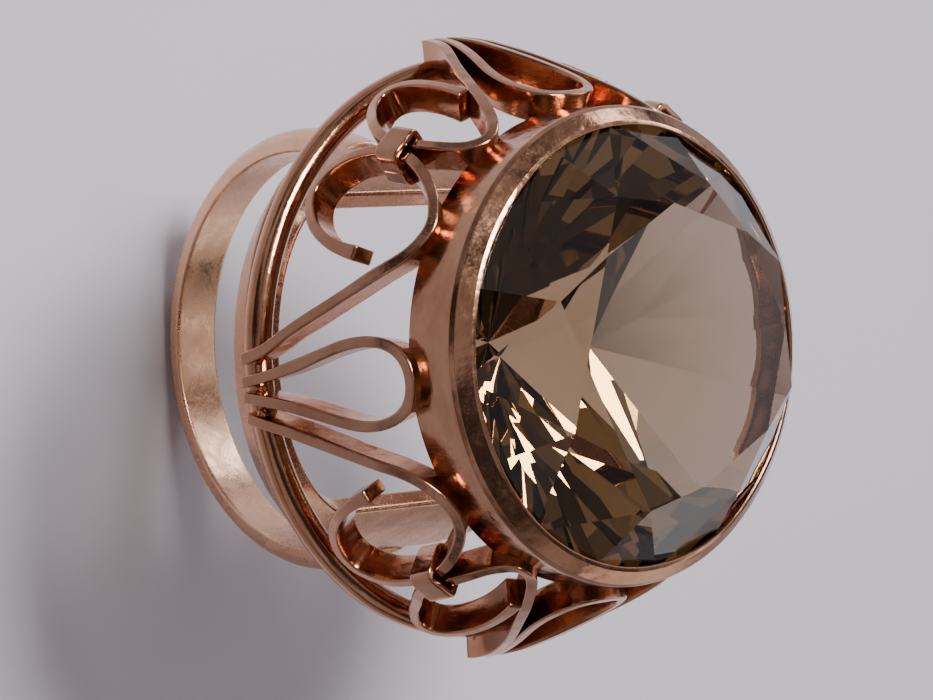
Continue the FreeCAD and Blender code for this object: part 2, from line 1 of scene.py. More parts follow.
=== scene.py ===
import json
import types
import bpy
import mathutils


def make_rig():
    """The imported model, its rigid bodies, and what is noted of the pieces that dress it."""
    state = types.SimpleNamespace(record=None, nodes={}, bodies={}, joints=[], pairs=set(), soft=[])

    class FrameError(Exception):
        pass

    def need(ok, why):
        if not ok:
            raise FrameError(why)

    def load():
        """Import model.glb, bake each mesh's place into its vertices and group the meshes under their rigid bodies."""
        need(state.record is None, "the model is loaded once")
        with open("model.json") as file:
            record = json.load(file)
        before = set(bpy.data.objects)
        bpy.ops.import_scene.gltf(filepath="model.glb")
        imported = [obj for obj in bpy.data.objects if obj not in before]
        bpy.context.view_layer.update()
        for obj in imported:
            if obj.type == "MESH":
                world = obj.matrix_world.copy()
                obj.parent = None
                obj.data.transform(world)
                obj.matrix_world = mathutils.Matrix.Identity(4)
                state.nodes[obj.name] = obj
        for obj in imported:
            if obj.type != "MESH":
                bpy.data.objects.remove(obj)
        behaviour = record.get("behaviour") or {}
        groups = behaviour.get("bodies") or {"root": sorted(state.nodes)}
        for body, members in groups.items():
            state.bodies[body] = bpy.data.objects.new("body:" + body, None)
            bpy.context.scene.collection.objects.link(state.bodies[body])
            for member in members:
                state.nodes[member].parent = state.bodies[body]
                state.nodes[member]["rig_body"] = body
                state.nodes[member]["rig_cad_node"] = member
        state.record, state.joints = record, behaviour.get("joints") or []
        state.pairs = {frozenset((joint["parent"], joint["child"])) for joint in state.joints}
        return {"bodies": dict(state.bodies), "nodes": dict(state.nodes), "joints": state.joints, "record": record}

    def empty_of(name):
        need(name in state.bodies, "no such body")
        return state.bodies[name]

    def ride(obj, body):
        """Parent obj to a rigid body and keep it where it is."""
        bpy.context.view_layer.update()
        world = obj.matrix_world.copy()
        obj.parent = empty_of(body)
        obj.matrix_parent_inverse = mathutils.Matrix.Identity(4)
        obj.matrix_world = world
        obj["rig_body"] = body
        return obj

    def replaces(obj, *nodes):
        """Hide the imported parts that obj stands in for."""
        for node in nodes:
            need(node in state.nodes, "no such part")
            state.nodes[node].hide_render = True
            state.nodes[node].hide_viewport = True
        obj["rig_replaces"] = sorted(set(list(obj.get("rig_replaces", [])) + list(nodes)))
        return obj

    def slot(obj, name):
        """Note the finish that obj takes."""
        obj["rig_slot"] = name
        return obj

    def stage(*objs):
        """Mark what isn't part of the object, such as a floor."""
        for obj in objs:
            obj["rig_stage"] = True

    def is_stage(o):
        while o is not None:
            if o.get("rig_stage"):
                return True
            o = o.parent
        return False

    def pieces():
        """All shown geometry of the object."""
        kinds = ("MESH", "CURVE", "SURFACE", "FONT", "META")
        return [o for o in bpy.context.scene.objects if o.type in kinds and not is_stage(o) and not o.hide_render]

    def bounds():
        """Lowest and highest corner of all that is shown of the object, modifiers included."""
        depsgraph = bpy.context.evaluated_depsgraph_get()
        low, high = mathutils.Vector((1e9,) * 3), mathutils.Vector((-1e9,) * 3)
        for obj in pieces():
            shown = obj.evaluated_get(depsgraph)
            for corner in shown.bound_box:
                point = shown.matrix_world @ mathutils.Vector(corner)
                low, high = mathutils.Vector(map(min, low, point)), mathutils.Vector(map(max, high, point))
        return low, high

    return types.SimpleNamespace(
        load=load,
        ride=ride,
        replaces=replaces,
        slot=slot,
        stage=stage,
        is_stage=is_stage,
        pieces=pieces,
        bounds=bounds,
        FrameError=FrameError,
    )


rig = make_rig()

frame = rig.load()
import bpy
import bmesh
import json
import math
import numpy as np
from mathutils import Vector, Matrix

cad_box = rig.bounds()

MM = 0.001
rng = np.random.RandomState(7)

# --------------------------------------------------------------------------
# sizes, in millimetres; origin at the centre of the finger hole, +Y along the
# finger, +Z through the stone
# --------------------------------------------------------------------------
BORE = 9.3
PLATE_T = 0.95
SHANK_T = 1.15
WIRE_R, WIRE_T, WIRE_Z = 12.4, 0.6, 10.83
COL_R, COL_WALL, COL_Z0 = 10.35, 0.45, 18.2
GIRDLE_R, GIRDLE_LO, GIRDLE_HI = 9.75, 20.72, 20.98
TABLE_R, TABLE_Z, CULET_Z = 6.05, 24.4, 12.6
RIB_W, RIB_D = 0.5, 1.4


# --------------------------------------------------------------------------
# mesh helpers
# --------------------------------------------------------------------------
def mesh_object(name, verts, faces, smooth=True, mat_ids=None):
    me = bpy.data.meshes.new(name)
    me.from_pydata([tuple(float(c) * MM for c in v) for v in verts], [], [tuple(int(i) for i in f) for f in faces])
    me.validate()
    bm = bmesh.new()
    bm.from_mesh(me)
    bmesh.ops.remove_doubles(bm, verts=bm.verts, dist=1e-8)
    bmesh.ops.recalc_face_normals(bm, faces=bm.faces)
    bm.to_mesh(me)
    bm.free()
    me.polygons.foreach_set("use_smooth", [smooth] * len(me.polygons))
    if mat_ids is not None and len(mat_ids) == len(me.polygons):
        me.polygons.foreach_set("material_index", mat_ids)
    me.update()
    ob = bpy.data.objects.new(name, me)
    bpy.context.scene.collection.objects.link(ob)
    return ob


def wave(seed, n, amp, lo=1, hi=4):
    """Smooth closed random wave with n samples."""
    r = np.random.RandomState(seed)
    t = np.linspace(0, 2 * np.pi, n, endpoint=False)
    w = np.zeros(n)
    for k in range(lo, hi + 1):
        w += r.normal() * np.cos(k * t + r.uniform(0, 6.28)) / k
    m = np.abs(w).max()
    return w / m * amp if m > 0 else w


def grid_faces(rows, cols, close_rows, close_cols):
    f = []
    for i in range(rows if close_rows else rows - 1):
        for j in range(cols if close_cols else cols - 1):
            a = i * cols + j
            b = i * cols + (j + 1) % cols
            c = ((i + 1) % rows) * cols + (j + 1) % cols
            d = ((i + 1) % rows) * cols + j
            f.append((a, b, c, d))
    return f


def rounded_box_section(w, d, r, arc=4, sides=3):
    """Closed section in (s, n): s in -w/2..w/2, n in -d..0, rounded corners.

    Extra points on every side keep the flats flat under smooth shading."""
    pts, zone = [], []
    corners = [(w / 2 - r, -r, 0), (-w / 2 + r, -r, 90), (-w / 2 + r, -d + r, 180), (w / 2 - r, -d + r, 270)]
    for i, (cx, cy, a0) in enumerate(corners):
        for k in range(arc + 1):
            a = math.radians(a0 + 90.0 * k / arc)
            pts.append((cx + r * math.cos(a), cy + r * math.sin(a)))
            zone.append(i)
        nx, ny, _ = corners[(i + 1) % 4]
        a = math.radians(a0 + 90)
        p = (cx + r * math.cos(a), cy + r * math.sin(a))
        q = (nx + r * math.cos(a), ny + r * math.sin(a))
        for k in range(1, sides + 1):
            t = {1: 0.12, 2: 0.5, 3: 0.88}[k] if sides == 3 else k / (sides + 1)
            pts.append((p[0] + (q[0] - p[0]) * t, p[1] + (q[1] - p[1]) * t))
            zone.append(i)
    return np.array(pts), zone


def cap_fan(verts, faces, ring, centre):
    """Closes a ring of vertex indices with a fan to a new centre vertex."""
    c = len(verts)
    verts.append(centre)
    n = len(ring)
    for i in range(n):
        faces.append((ring[i], ring[(i + 1) % n], c))


# --------------------------------------------------------------------------
# basket surface and ribbon paths
# --------------------------------------------------------------------------
STRAIGHT = [(9.0, 13.45), (11.0, 13.3), (12.5, 12.95), (14.0, 12.5), (15.5, 12.0),
            (17.0, 11.5), (18.4, 11.0), (19.4, 10.8), (21.0, 10.75)]
FLARED = [(9.0, 14.05), (10.9, 13.95), (12.1, 13.75), (13.2, 13.4), (14.4, 12.95), (15.5, 12.5),
          (17.3, 11.75), (18.7, 11.1), (19.4, 10.85), (21.0, 10.75)]
BARREL = [(9.0, 12.85), (12.1, 12.8), (13.5, 12.8), (15.0, 12.65), (16.2, 12.4),
          (17.5, 11.9), (18.7, 11.2), (19.4, 10.85), (21.0, 10.75)]
# Every ribbon is hand bent, so each front piece has its own centreline of
# (angle, height) points. The back pieces repeat the front ones, turned over.
FL_A = [(-0.9, 10.75), (-2.2, 11.8), (-5.2, 12.9), (-9.0, 14.2), (-13.2, 15.6), (-18.4, 17.2), (-22.3, 18.2),
        (-26.0, 18.75), (-30.2, 19.0), (-35.2, 18.8), (-39.4, 18.3), (-42.6, 17.55), (-44.5, 16.7), (-44.9, 15.9),
        (-44.55, 15.0), (-42.9, 13.95), (-40.0, 13.1), (-35.3, 12.65), (-30.5, 13.0), (-25.9, 13.9),
        (-23.1, 15.0), (-21.9, 16.1)]
FL_B = [(-82.3, 10.75), (-80.1, 12.4), (-75.5, 14.1), (-70.8, 15.8), (-67.0, 17.1), (-64.2, 18.0), (-61.0, 18.7),
        (-58.0, 19.0), (-55.0, 19.0), (-52.2, 18.7), (-49.8, 18.1), (-48.1, 17.2), (-47.5, 16.4), (-47.5, 15.6),
        (-48.6, 14.8), (-51.6, 13.8), (-55.2, 13.0), (-58.6, 12.5), (-61.6, 12.4), (-64.0, 12.8), (-65.6, 13.7),
        (-66.3, 14.8), (-66.2, 16.4)]
FR_A = [(10.2, 10.75), (11.4, 11.6), (14.3, 13.3), (18.0, 15.1), (21.8, 16.8), (25.6, 18.0), (29.6, 18.6),
        (33.5, 18.9), (37.8, 18.95), (41.7, 18.7), (45.2, 18.15), (48.1, 17.3), (49.6, 16.5), (49.9, 15.8),
        (50.0, 15.0), (49.6, 14.1), (48.4, 13.2), (45.5, 12.45), (41.7, 12.3), (37.8, 12.55), (34.4, 13.05),
        (31.6, 13.8), (29.4, 14.7), (27.7, 15.8)]
FR_B = [(86.7, 10.75), (86.0, 12.2), (84.3, 13.4), (80.6, 14.9), (75.7, 16.4), (70.8, 17.8), (67.4, 18.6),
        (64.7, 19.1), (61.2, 19.4), (58.2, 19.35), (55.9, 18.95), (54.0, 18.25), (52.9, 17.3), (52.5, 16.4),
        (52.9, 15.5), (54.6, 14.7), (57.0, 14.1), (59.6, 13.4), (62.6, 12.8), (65.6, 12.45), (68.2, 12.6),
        (70.3, 13.2), (71.7, 14.2), (72.0, 15.3), (71.0, 16.3), (69.0, 17.5)]
# half of a petal, from its base to its tip; the other half mirrors it
PETAL = [(1.4, 10.75), (2.2, 11.8), (3.5, 13.0), (6.0, 14.6), (8.2, 15.9), (8.95, 16.9),
         (8.0, 17.85), (5.0, 18.5), (0.0, 18.75)]


def moved(path, sign, offset, spread=1.0):
    return [(sign * p[0] * spread + offset, p[1]) for p in path]


PETAL_LOOP = PETAL + [(-p[0], p[1]) for p in reversed(PETAL[:-1])]
PETALS = [
    ("petal_front", moved(PETAL_LOOP, 1, 4.8)),
    ("petal_right", moved(PETAL_LOOP, 1, 90.6, 1.04)),
    ("petal_back", moved(PETAL_LOOP, 1, 182.0)),
    ("petal_left", moved(PETAL_LOOP, 1, -86.4, 1.10)),
]
SCROLLS = [
    ("scroll_front_left_a", FL_A),
    ("scroll_front_left_b", FL_B),
    ("scroll_front_right_a", FR_A),
    ("scroll_front_right_b", FR_B),
    ("scroll_back_right_b", moved(FR_B, -1, 181.2)),
    ("scroll_back_right_a", moved(FL_A, 1, 176.1)),
    ("scroll_back_left_a", moved(FL_A, -1, -172.3)),
    ("scroll_back_left_b", moved(FL_B, -1, -172.7)),
]
COLLARS = [
    ("collar_front_left", -46.2, 16.0),
    ("collar_front_right", 51.2, 16.1),
    ("collar_back_right", 129.95, 16.0),
    ("collar_back_left", -126.3, 16.0),
]


def pchip(table):
    xs = np.array([p[0] for p in table], float)
    ys = np.array([p[1] for p in table], float)
    h = np.diff(xs)
    d = np.diff(ys) / h
    m = np.zeros(len(xs))
    for i in range(1, len(xs) - 1):
        if d[i - 1] * d[i] > 0:
            w1, w2 = 2 * h[i] + h[i - 1], h[i] + 2 * h[i - 1]
            m[i] = (w1 + w2) / (w1 / d[i - 1] + w2 / d[i])
    m[0], m[-1] = d[0], d[-1]

    def f(x):
        x = min(max(x, xs[0]), xs[-1])
        i = min(max(int(np.searchsorted(xs, x, side="right")) - 1, 0), len(xs) - 2)
        t = (x - xs[i]) / h[i]
        return ((2 * t ** 3 - 3 * t ** 2 + 1) * ys[i] + (t ** 3 - 2 * t ** 2 + t) * h[i] * m[i]
                + (-2 * t ** 3 + 3 * t ** 2) * ys[i + 1] + (t ** 3 - t ** 2) * h[i] * m[i + 1])
    return f


f_straight, f_flared, f_barrel = pchip(STRAIGHT), pchip(FLARED), pchip(BARREL)


def basket_radius(phi, z):
    a = abs((phi + 45.0) % 90.0 - 45.0)
    w = min(max((a - 8.0) / 27.0, 0.0), 1.0)
    w = w * w * (3 - 2 * w)
    base = f_flared if round(phi / 90.0) % 2 else f_straight
    return (1 - w) * base(z) + w * f_barrel(z)


def on_basket(phi, z):
    r = basket_radius(phi, z)
    f = math.radians(phi)
    return np.array([r * math.sin(f), -r * math.cos(f), z])


def basket_normal(phi, z):
    e = 0.2
    du = on_basket(phi + e, z) - on_basket(phi - e, z)
    dv = on_basket(phi, z + 0.05) - on_basket(phi, z - 0.05)
    n = np.cross(du, dv)
    n /= np.linalg.norm(n)
    out = np.array([math.sin(math.radians(phi)), -math.cos(math.radians(phi)), 0.0])
    return n if n @ out > 0 else -n


def natural_spline(points, count):
    """Natural cubic through 2-D points by chord length, sampled evenly."""
    p = np.array(points, float)
    k = math.radians(1.0) * 12.0
    q = p * np.array([k, 1.0])
    s = np.concatenate([[0], np.cumsum(np.linalg.norm(np.diff(q, axis=0), axis=1))])
    n = len(s)
    h = np.diff(s)
    A = np.zeros((n, n))
    B = np.zeros((n, 2))
    A[0, 0] = A[-1, -1] = 1
    for i in range(1, n - 1):
        A[i, i - 1], A[i, i], A[i, i + 1] = h[i - 1], 2 * (h[i - 1] + h[i]), h[i]
        B[i] = 6 * ((q[i + 1] - q[i]) / h[i] - (q[i] - q[i - 1]) / h[i - 1])
    M = np.linalg.solve(A, B)

    def at(x):
        i = min(max(int(np.searchsorted(s, x, side="right")) - 1, 0), n - 2)
        a, b = s[i + 1] - x, x - s[i]
        return ((M[i] * a ** 3 + M[i + 1] * b ** 3) / (6 * h[i])
                + (q[i] / h[i] - M[i] * h[i] / 6) * a + (q[i + 1] / h[i] - M[i + 1] * h[i] / 6) * b)
    dense = np.array([at(x) for x in np.linspace(0, s[-1], count * 6)])
    ds = np.concatenate([[0], np.cumsum(np.linalg.norm(np.diff(dense, axis=0), axis=1))])
    want = np.linspace(0, ds[-1], count)
    out = np.stack([np.interp(want, ds, dense[:, 0]), np.interp(want, ds, dense[:, 1])], 1)
    return out / np.array([k, 1.0])


def ribbon(name, path, count=150, cut_tip=False, seed=0):
    """Ribbon on edge along the basket surface, with rounded long corners."""
    pts = natural_spline(path, count)
    r = np.random.RandomState(seed)
    # slow hand-made wander of the path and of the thickness
    u = np.linspace(0, 1, count)
    fade = np.sin(np.pi * u) ** 0.5
    pts[:, 0] += 0.10 * fade * np.sin(2 * np.pi * (1.7 * u + r.uniform()))
    pts[:, 1] += 0.025 * fade * np.sin(2 * np.pi * (2.3 * u + r.uniform()))
    wide = 1.0 + 0.035 * np.sin(2 * np.pi * (3.1 * u + r.uniform())) + 0.02 * np.sin(2 * np.pi * (7.3 * u + r.uniform()))
    if cut_tip:
        wide = wide * (1.0 + 0.30 * np.clip((u - 0.93) / 0.07, 0, 1) ** 1.5)
    pos = np.array([on_basket(a, b) for a, b in pts])
    nor = np.array([basket_normal(a, b) for a, b in pts])
    tan = np.gradient(pos, axis=0)
    sec, zone = rounded_box_section(RIB_W, RIB_D, 0.085)
    verts, faces, ids = [], [], []
    m = len(sec)
    ends = []
    for i in range(count):
        n = nor[i]
        t = tan[i] / np.linalg.norm(tan[i])
        t = t - n * (t @ n)
        t /= np.linalg.norm(t)
        s = np.cross(t, n)
        # depth stops at the collet wall
        rad = math.hypot(pos[i][0], pos[i][1])
        cosn = math.hypot(n[0], n[1])
        room = (rad - 10.05) / max(cosn, 0.3)
        blend = min(max((pts[i][1] - 18.15) / 0.5, 0.0), 1.0)
        blend = blend * blend * (3 - 2 * blend)
        depth = RIB_D * (1 - blend) + min(RIB_D, room) * blend
        for k in range(m):
            a, b = sec[k]
            # slightly crowned thin edge, thinner towards the inside
            a = a * wide[i] * (1.0 - 0.05 * (-b / RIB_D))
            if -b > 0.2:
                b = -0.2 - (-b - 0.2) * (depth - 0.2) / (RIB_D - 0.2)
            verts.append(pos[i] + s * a + n * b)
        ends.append((pos[i] - n * depth / 2, t))
    faces = grid_faces(count, m, False, True)
    ids = []
    for i in range(count - 1):
        for j in range(m):
            # the outer flat and the two small corners beside it are satin; the other faces take the ribbon side gold,
            # whose base colour is a deeper painted shade than the edge's
            c = 0.5 * (sec[j][1] + sec[(j + 1) % m][1])
            ids.append(1 if c > -0.03 else 0)
    # close both ends with a slightly proud, rounded cap
    for e, ring in ((0, list(range(m))), (count - 1, [(count - 1) * m + j for j in range(m)])):
        c, t = ends[e]
        sgn = -1 if e == 0 else 1
        inner = []
        for j in ring:
            v = verts[j]
            inner.append(len(verts))
            verts.append(c + (v - c) * 0.82 + t * sgn * 0.035)
        for j in range(m):
            faces.append((ring[j], ring[(j + 1) % m], inner[(j + 1) % m], inner[j]))
            ids.append(0)
        cap = len(verts)
        verts.append(c + t * sgn * 0.045)
        for j in range(m):
            faces.append((inner[j], inner[(j + 1) % m], cap))
            ids.append(0)
    ob = mesh_object(name, verts, faces, True, ids)
    return ob


def revolve(name, profile, count=256, wob=None):
    """Closed profile of (r, z) turned about Z."""
    verts = []
    n = len(profile)
    for i in range(count):
        a = 2 * math.pi * i / count
        for j, (r, z) in enumerate(profile):
            dr, dz = (wob(i, j) if wob else (0.0, 0.0))
            verts.append(((r + dr) * math.sin(a), -(r + dr) * math.cos(a), z + dz))
    return mesh_object(name, verts, grid_faces(count, n, True, True))


def round_profile(corners, arc=5):
    """Closed outline with rounded corners: (x, y, radius) each."""
    out = []
    n = len(corners)
    for i in range(n):
        p0 = np.array(corners[i - 1][:2], float)
        p1 = np.array(corners[i][:2], float)
        p2 = np.array(corners[(i + 1) % n][:2], float)
        r = corners[i][2]
        a, b = p0 - p1, p2 - p1
        la, lb = np.linalg.norm(a), np.linalg.norm(b)
        a, b = a / la, b / lb
        ang = math.acos(max(-1.0, min(1.0, float(a @ b))))
        if r <= 0:
            out.append(tuple(p1))
            continue
        t = min(r / math.tan(ang / 2), 0.45 * la, 0.45 * lb)
        r = t * math.tan(ang / 2)
        bis = (a + b) / np.linalg.norm(a + b)
        c = p1 + bis * (r / math.sin(ang / 2))
        s, e = p1 + a * t - c, p1 + b * t - c
        a0 = math.atan2(s[1], s[0])
        a1 = math.atan2(e[1], e[0])
        d = (a1 - a0 + math.pi) % (2 * math.pi) - math.pi
        for k in range(arc + 1):
            q = a0 + d * k / arc
            out.append((c[0] + r * math.cos(q), c[1] + r * math.sin(q)))
    # support points close to each arc on the longer straights
    res = []
    m = len(out)
    for i in range(m):
        p, q = np.array(out[i]), np.array(out[(i + 1) % m])
        res.append(tuple(p))
        L = np.linalg.norm(q - p)
        if L > 0.22:
            for f in (0.08 / L * 0.8, 0.5, 1 - 0.08 / L * 0.8):
                res.append(tuple(p + (q - p) * f))
    return res


# --------------------------------------------------------------------------
# procedural materials
# --------------------------------------------------------------------------
def nodes_of(mat):
    mat.use_nodes = True
    nt = mat.node_tree
    for n in list(nt.nodes):
        nt.nodes.remove(n)
    return nt


def gold(name, base, deep, rough=0.16, satin=0.0, bump=0.25, grain=1.0):
    """Rose gold: slow colour drift, fine polishing marks, tiny dents."""
    mat = bpy.data.materials.new(name)
    nt = nodes_of(mat)
    N, L = nt.nodes.new, nt.links.new
    out = N("ShaderNodeOutputMaterial")
    bsdf = N("ShaderNodeBsdfPrincipled")
    bsdf.inputs["Metallic"].default_value = 1.0
    L(bsdf.outputs["BSDF"], out.inputs["Surface"])
    tc = N("ShaderNodeTexCoord")

    def noise(scale, detail=3.0, rough_=0.55, vec=None, dist=0.0):
        n = N("ShaderNodeTexNoise")
        n.inputs["Scale"].default_value = scale
        n.inputs["Detail"].default_value = detail
        n.inputs["Roughness"].default_value = rough_
        n.inputs["Distortion"].default_value = dist
        L(vec if vec is not None else tc.outputs["Object"], n.inputs["Vector"])
        return n

    def ramp(src, a, b, lo, hi):
        r = N("ShaderNodeMapRange")
        r.inputs["From Min"].default_value = a
        r.inputs["From Max"].default_value = b
        r.inputs["To Min"].default_value = lo
        r.inputs["To Max"].default_value = hi
        L(src, r.inputs["Value"])
        return r.outputs["Result"]

    drift = noise(330.0, 3.0)                 # a few millimetres across
    tone = N("ShaderNodeMix")
    tone.data_type = "RGBA"
    tone.inputs[6].default_value = (*base, 1.0)
    tone.inputs[7].default_value = (*deep, 1.0)
    L(ramp(drift.outputs["Fac"], 0.35, 0.72, 0.0, 1.0), tone.inputs[0])
    # darker grime and oxide in tiny pits
    pits = noise(5200.0 * grain, 2.0, 0.6)
    grime = N("ShaderNodeMix")
    grime.data_type = "RGBA"
    grime.inputs[7].default_value = (deep[0] * 0.45, deep[1] * 0.36, deep[2] * 0.33, 1.0)
    L(tone.outputs[2], grime.inputs[6])
    L(ramp(pits.outputs["Fac"], 0.70, 0.88, 0.0, 0.16), grime.inputs[0])
    L(grime.outputs[2], bsdf.inputs["Base Color"])
    # roughness: smears and fine scratches
    smear = noise(900.0, 4.0, 0.6, dist=0.6)
    mapping = N("ShaderNodeMapping")
    mapping.inputs["Scale"].default_value = (1.0, 1.0, 0.16)
    mapping.inputs["Rotation"].default_value = (0.5, 0.35, 0.9)
    L(tc.outputs["Object"], mapping.inputs["Vector"])
    scratch = noise(9000.0 * grain, 2.0, 0.5, mapping.outputs["Vector"])
    r1 = ramp(smear.outputs["Fac"], 0.3, 0.75, rough * 0.6, rough * 1.7)
    r2 = ramp(scratch.outputs["Fac"], 0.45, 0.8, 0.0, 0.10 + 0.1 * satin)
    add = N("ShaderNodeMath")
    add.operation = "ADD"
    L(r1, add.inputs[0])
    L(r2, add.inputs[1])
    L(add.outputs[0], bsdf.inputs["Roughness"])
    # relief: soft hand-worked undulation, then scratches, then pits
    b1 = N("ShaderNodeBump")
    b1.inputs["Strength"].default_value = bump
    b1.inputs["Distance"].default_value = 0.00012
    und = noise(700.0, 2.0, 0.5)
    L(und.outputs["Fac"], b1.inputs["Height"])
    b2 = N("ShaderNodeBump")
    b2.inputs["Strength"].default_value = 0.35 + 0.5 * satin
    b2.inputs["Distance"].default_value = 0.000006
    L(scratch.outputs["Fac"], b2.inputs["Height"])
    L(b1.outputs["Normal"], b2.inputs["Normal"])
    b3 = N("ShaderNodeBump")
    b3.inputs["Strength"].default_value = 0.4
    b3.inputs["Distance"].default_value = 0.00001
    L(pits.outputs["Fac"], b3.inputs["Height"])
    L(b2.outputs["Normal"], b3.inputs["Normal"])
    L(b3.outputs["Normal"], bsdf.inputs["Normal"])
    return mat


# All these golds are one rose gold. The wire, ribbon sides, ribbon edges, bezel and plate get a much darker base
# colour than the shank: painted shade standing in for dark reflections, deepest on the ribbon sides and bezel.
ROSE = (0.58, 0.305, 0.195)
ROSE_DEEP = (0.44, 0.205, 0.12)
M_WIRE = gold("gold_wire_painted_shade", (0.62, 0.325, 0.205), ROSE_DEEP, rough=0.11, bump=0.30)
M_SIDE = gold("gold_ribbon_side_painted_shade", (0.58, 0.29, 0.175), (0.45, 0.20, 0.11), rough=0.13, bump=0.25)
M_EDGE = gold("gold_ribbon_edge_painted_shade", (0.60, 0.335, 0.225), (0.46, 0.23, 0.145), rough=0.13, satin=0.4, bump=0.45)
M_BEZEL = gold("gold_bezel_painted_shade", (0.56, 0.305, 0.195), (0.44, 0.22, 0.13), rough=0.15, bump=0.45)
M_PLATE = gold("gold_plate_painted_shade", (0.58, 0.315, 0.205), (0.50, 0.25, 0.155), rough=0.20, satin=0.4, bump=0.35)
M_SHANK = gold("gold_shank", (0.80, 0.49, 0.325), (0.73, 0.42, 0.265), rough=0.24, satin=0.4, bump=0.25)


def quartz():
    mat = bpy.data.materials.new("smoky_quartz")
    nt = nodes_of(mat)
    N, L = nt.nodes.new, nt.links.new
    out = N("ShaderNodeOutputMaterial")
    bsdf = N("ShaderNodeBsdfPrincipled")
    bsdf.inputs["Metallic"].default_value = 0.0
    bsdf.inputs["Roughness"].default_value = 0.0
    bsdf.inputs["IOR"].default_value = 1.55
    bsdf.inputs["Transmission Weight"].default_value = 1.0
    tc = N("ShaderNodeTexCoord")
    # faint growth zoning of the crystal
    mp = N("ShaderNodeMapping")
    mp.inputs["Scale"].default_value = (1.0, 0.35, 0.7)
    mp.inputs["Rotation"].default_value = (0.6, 0.2, 0.4)
    L(tc.outputs["Object"], mp.inputs["Vector"])
    zone = N("ShaderNodeTexNoise")
    zone.inputs["Scale"].default_value = 160.0
    zone.inputs["Detail"].default_value = 2.0
    L(mp.outputs["Vector"], zone.inputs["Vector"])
    mix = N("ShaderNodeMix")
    mix.data_type = "RGBA"
    mix.inputs[6].default_value = (0.50, 0.425, 0.415, 1.0)
    mix.inputs[7].default_value = (0.43, 0.352, 0.335, 1.0)
    L(zone.outputs["Fac"], mix.inputs[0])
    L(mix.outputs[2], bsdf.inputs["Base Color"])
    L(bsdf.outputs["BSDF"], out.inputs["Surface"])
    vol = N("ShaderNodeVolumeAbsorption")
    vol.inputs["Color"].default_value = (0.75, 0.54, 0.08, 1.0)
    vol.inputs["Density"].default_value = 88.0
    L(vol.outputs["Volume"], out.inputs["Volume"])
    return mat


M_STONE = quartz()

# --------------------------------------------------------------------------
# pieces
# --------------------------------------------------------------------------
pieces = []


def finish(ob, node, slot_name, *mats):
    for m in mats:
        ob.data.materials.append(m)
    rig.ride(ob, "root")
    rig.replaces(ob, node)
    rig.slot(ob, slot_name)
    pieces.append(ob)
    return ob


# shank: D-section band with a soft inner face, a little wider at the shoulders
def build_shank():
    n = 260
    a0, a1 = math.radians(66.0), math.radians(360.0 - 66.0)
    verts = []
    wig = wave(3, n, 0.03)
    sect = []
    for i in range(n):
        u = i / (n - 1)
        th = a0 + (a1 - a0) * u
        near = max(0.0, 1.0 - min(u, 1 - u) / 0.09)
        half = 1.2 + 0.42 * near ** 2
        if i == 0:
            base = round_profile([(-1.2, 0.0, 0.16), (-1.2, 0.62, 0.30), (-0.66, SHANK_T * 0.93, 0.9), (0.0, SHANK_T, 3.0),
                                  (0.66, SHANK_T * 0.93, 0.9), (1.2, 0.62, 0.30), (1.2, 0.0, 0.16)], 4)
            m = len(base)
        for (y, t) in base:
            r = BORE + t
            verts.append((r * math.sin(th), y * half / 1.2 + wig[i] * 0.5, r * math.cos(th)))
    faces = grid_faces(n, m, False, True)
    for ring in (list(range(m)), [(n - 1) * m + j for j in range(m)]):
        c = np.mean([verts[j] for j in ring], axis=0)
        cap_fan(verts, faces, ring, tuple(c))
    return mesh_object("shank_band", verts, faces)


finish(build_shank(), "shank", "shank_gold", M_SHANK)


# finger plate: flat oval ring bent over the finger
def plate_outline_y(x, a, b, p=2.0):
    q = max(0.0, 1.0 - (abs(x) / a) ** p)
    return b * q ** (1.0 / p)


def build_plate():
    n = 360
    R0, R1 = BORE, BORE + PLATE_T
    th_end = math.radians(66.0)
    th_in = math.radians(44.0)

    def ray(angle, th_lim, a, b):
        """First hit of a ray in the unrolled plane (arc length at R1, y)."""
        c, s = math.cos(angle), math.sin(angle)
        lo, hi = 0.0, 20.0
        for _ in range(50):
            mid = 0.5 * (lo + hi)
            th = mid * c / R1
            y = mid * s
            x = R1 * math.sin(th)
            inside = abs(th) <= th_lim and abs(x) <= a and abs(y) <= plate_outline_y(x, a, b)
            if inside:
                lo = mid
            else:
                hi = mid
        return lo * c / R1, lo * s
    verts = []
    m = None
    outer, inner = [], []
    for i in range(n):
        ang = 2 * math.pi * i / n
        outer.append(ray(ang, th_end, 9.6, 12.55))
        inner.append(ray(ang, th_in, 8.2, 10.7))
    outer, inner = np.array(outer), np.array(inner)
    # soften the outline's corners a little
    for arr, times in ((outer, 2), (inner, 5)):
        for _ in range(times):
            arr[:] = 0.25 * np.roll(arr, 1, 0) + 0.5 * arr + 0.25 * np.roll(arr, -1, 0)
    for i in range(n):
        po, pi_ = outer[i], inner[i]
        wide = math.hypot((po[0] - pi_[0]) * R1, po[1] - pi_[1])
        sec = round_profile([(0, 0, 0.14), (wide, 0, 0.10), (wide, PLATE_T, 0.13), (0, PLATE_T, 0.16)], 4)
        if m is None:
            m = len(sec)
        for (s, t) in sec[:m]:
            f = s / wide
            th = pi_[0] + (po[0] - pi_[0]) * f
            y = pi_[1] + (po[1] - pi_[1]) * f
            r = R0 + t
            verts.append((r * math.sin(th), y, r * math.cos(th)))
    return mesh_object("finger_plate_saddle", verts, grid_faces(n, m, True, True))


finish(build_plate(), "finger_plate", "plate_gold", M_PLATE)


